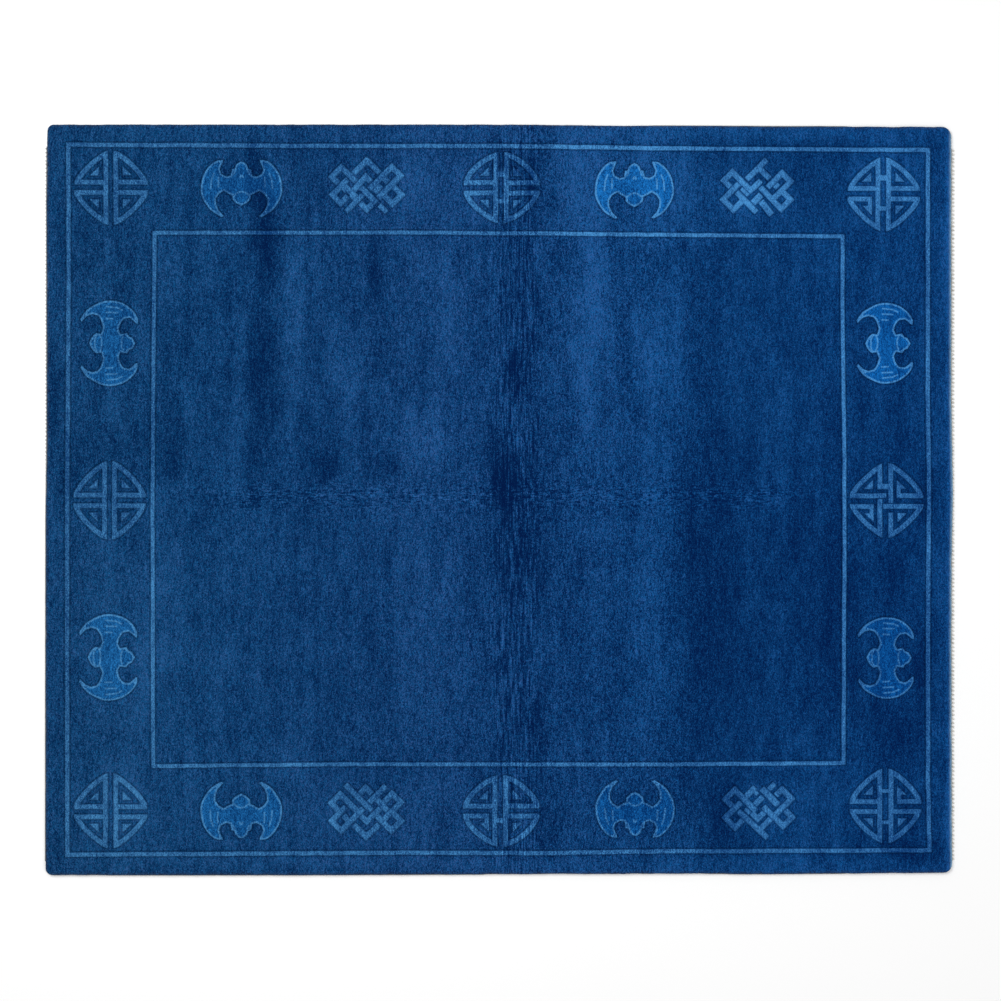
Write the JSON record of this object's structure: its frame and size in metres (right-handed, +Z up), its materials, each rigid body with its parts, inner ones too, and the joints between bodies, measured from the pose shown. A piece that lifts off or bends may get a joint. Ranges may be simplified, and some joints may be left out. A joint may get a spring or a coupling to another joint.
{
  "type": "art deco Chinese pile rug",
  "caption": "Hand-knotted wool rug lying flat, navy with light frame lines, roundels, fu bats and endless knots edged by carved grooves, and knotted cotton ends.",
  "frame": {"origin": "middle of the rug's footprint, on the floor under it", "axes": "+X along the warps and the rug's length, towards the end with the open knotted warps; +Y along the wefts and the width; +Z up out of the pile"},
  "size_m": [2.956, 2.4404, 0.014],
  "materials": {
    "navy_wool": "clipped wool pile, navy with light blue motifs, matt with a soft nap",
    "warp_cotton": "undyed knotted cotton cord, matt"
  },
  "bodies": {
    "root": {"carpet": "navy_wool", "knotted_end_right": "warp_cotton", "knotted_end_left": "warp_cotton"}
  },
  "joints": []
}
